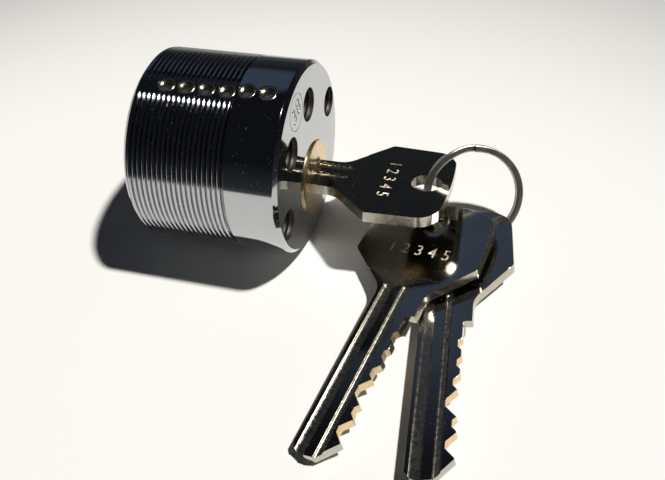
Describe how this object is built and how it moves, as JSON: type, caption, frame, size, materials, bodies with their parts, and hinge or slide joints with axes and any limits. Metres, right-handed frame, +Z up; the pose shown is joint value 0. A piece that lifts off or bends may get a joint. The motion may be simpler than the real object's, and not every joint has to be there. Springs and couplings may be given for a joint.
{
  "type": "lock cylinder",
  "caption": "Round screw-in lock cylinder with a pin row along its threaded body, a key in its plug and spare keys on a split ring.",
  "frame": {"origin": "on the body's axis inside the smooth collar, 5 mm behind the front face", "axes": "+Y along the body's axis from the front face to the back, +Z up from the table the lock lies on, +X to the right seen from the front"},
  "size_m": [0.0731, 0.0774, 0.0378],
  "materials": {
    "chromed_brass": "polished chrome plate",
    "brass": "turned and lightly tarnished",
    "nickel_silver": "polished nickel plate, bare at the cuts",
    "nickel_plated_steel": "drawn wire, nickel plated",
    "spring_steel": "drawn and bright",
    "zinc_plated_steel": "zinc plated"
  },
  "bodies": {
    "body": {"body": "chromed_brass", "thrust_washer": "spring_steel", "chamber_cap_1": "brass", "chamber_cap_2": "brass", "chamber_cap_3": "brass", "chamber_cap_4": "brass", "chamber_cap_5": "brass", "chamber_cap_6": "brass", "pin_spring_1": "spring_steel", "pin_spring_2": "spring_steel", "pin_spring_3": "spring_steel", "pin_spring_4": "spring_steel", "pin_spring_5": "spring_steel", "pin_spring_6": "spring_steel"},
    "plug": {"plug": "brass", "key_pin_1": "brass", "key_pin_2": "brass", "key_pin_3": "brass", "key_pin_4": "brass", "key_pin_5": "brass", "key_pin_6": "brass", "key_in_plug": "nickel_silver", "cam": "zinc_plated_steel", "cam_clip": "spring_steel"},
    "driver_1": {"driver_pin_1": "brass"},
    "driver_2": {"driver_pin_2": "brass"},
    "driver_3": {"driver_pin_3": "brass"},
    "driver_4": {"driver_pin_4": "brass"},
    "driver_5": {"driver_pin_5": "brass"},
    "driver_6": {"driver_pin_6": "brass"},
    "ring": {"key_ring": "nickel_plated_steel"},
    "upper_key": {"spare_key_1": "nickel_silver"},
    "lower_key": {"spare_key_2": "nickel_silver"}
  },
  "joints": [
    {"name": "plug_turn", "type": "hinge", "parent": "body", "child": "plug", "pos_m": [0.00123, -0.0055, -0.00649], "axis": [0, -1, 0], "continuous": true},
    {"name": "driver_1_lift", "type": "slide", "parent": "body", "child": "driver_1", "axis": [-0.1857, 0, 0.9826], "range_m": [0, 0.0018], "stiffness_N_per_m": 150, "springref_m": -0.005, "deforming": ["pin_spring_1"]},
    {"name": "driver_2_lift", "type": "slide", "parent": "body", "child": "driver_2", "axis": [-0.1857, 0, 0.9826], "range_m": [0, 0.0018], "stiffness_N_per_m": 150, "springref_m": -0.005, "deforming": ["pin_spring_2"]},
    {"name": "driver_3_lift", "type": "slide", "parent": "body", "child": "driver_3", "axis": [-0.1857, 0, 0.9826], "range_m": [0, 0.0018], "stiffness_N_per_m": 150, "springref_m": -0.005, "deforming": ["pin_spring_3"]},
    {"name": "driver_4_lift", "type": "slide", "parent": "body", "child": "driver_4", "axis": [-0.1857, 0, 0.9826], "range_m": [0, 0.0018], "stiffness_N_per_m": 150, "springref_m": -0.005, "deforming": ["pin_spring_4"]},
    {"name": "driver_5_lift", "type": "slide", "parent": "body", "child": "driver_5", "axis": [-0.1857, 0, 0.9826], "range_m": [0, 0.0018], "stiffness_N_per_m": 150, "springref_m": -0.005, "deforming": ["pin_spring_5"]},
    {"name": "driver_6_lift", "type": "slide", "parent": "body", "child": "driver_6", "axis": [-0.1857, 0, 0.9826], "range_m": [0, 0.0018], "stiffness_N_per_m": 150, "springref_m": -0.005, "deforming": ["pin_spring_6"]},
    {"name": "ring_swing", "type": "hinge", "parent": "plug", "child": "ring", "pos_m": [0.00244, -0.0277, -0.00679], "axis": [0, 0, 1], "range_deg": [0, 60]},
    {"name": "upper_key_swing", "type": "hinge", "parent": "ring", "child": "upper_key", "pos_m": [-0.00146, -0.03007, -0.01324], "axis": [-0.026, 0.2034, 0.9787], "range_deg": [-10, 4]},
    {"name": "lower_key_swing", "type": "hinge", "parent": "ring", "child": "lower_key", "pos_m": [-0.00081, -0.03288, -0.01586], "axis": [-0.0164, 0.1434, 0.9895], "range_deg": [-8, 2]}
  ]
}
